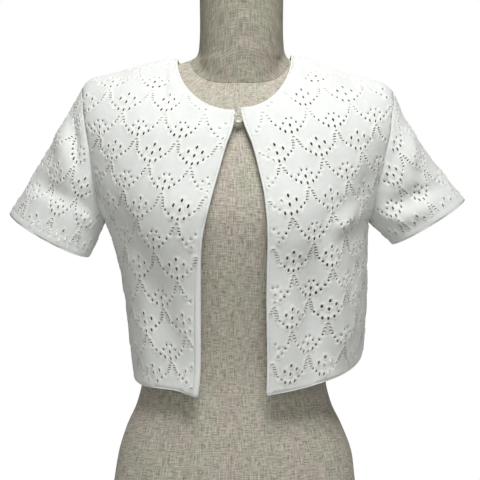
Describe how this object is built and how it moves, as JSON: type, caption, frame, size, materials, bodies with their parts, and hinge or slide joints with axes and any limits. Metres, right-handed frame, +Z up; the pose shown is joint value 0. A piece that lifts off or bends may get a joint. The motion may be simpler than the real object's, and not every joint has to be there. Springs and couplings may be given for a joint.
{
  "type": "cropped cardigan on a dress form",
  "caption": "White cropped short-sleeved cardigan in pointelle jersey, closed only by a small button at the round neck, worn by a limbless dress form covered in slubby linen.",
  "frame": {"origin": "on the underside of the base board, below the middle of the form, level with the seams at the form's sides", "axes": "+Z up, the front of the cardigan faces -Y, and the wearer's left is at +X"},
  "size_m": [0.5457, 0.2332, 0.7183],
  "materials": {
    "pointelle_jersey": "white fine cotton jersey with eyelets, matte",
    "plain_jersey": "white fine plain jersey, matte",
    "linen": "beige-grey slubby linen, matte",
    "pale_wood": "pale satin wood",
    "pearl": "pearly, slightly translucent, glossy",
    "thread": "white twisted thread, matte"
  },
  "bodies": {
    "root": {"back": "pointelle_jersey", "front_left": "pointelle_jersey", "front_right": "pointelle_jersey", "sleeve_left": "pointelle_jersey", "sleeve_right": "pointelle_jersey", "facing_left": "plain_jersey", "facing_right": "plain_jersey", "button": "pearl", "button_loop": "thread", "button_shank": "thread", "dress_form": "linen", "neck_cap": "pale_wood", "base_board": "pale_wood"}
  },
  "joints": []
}
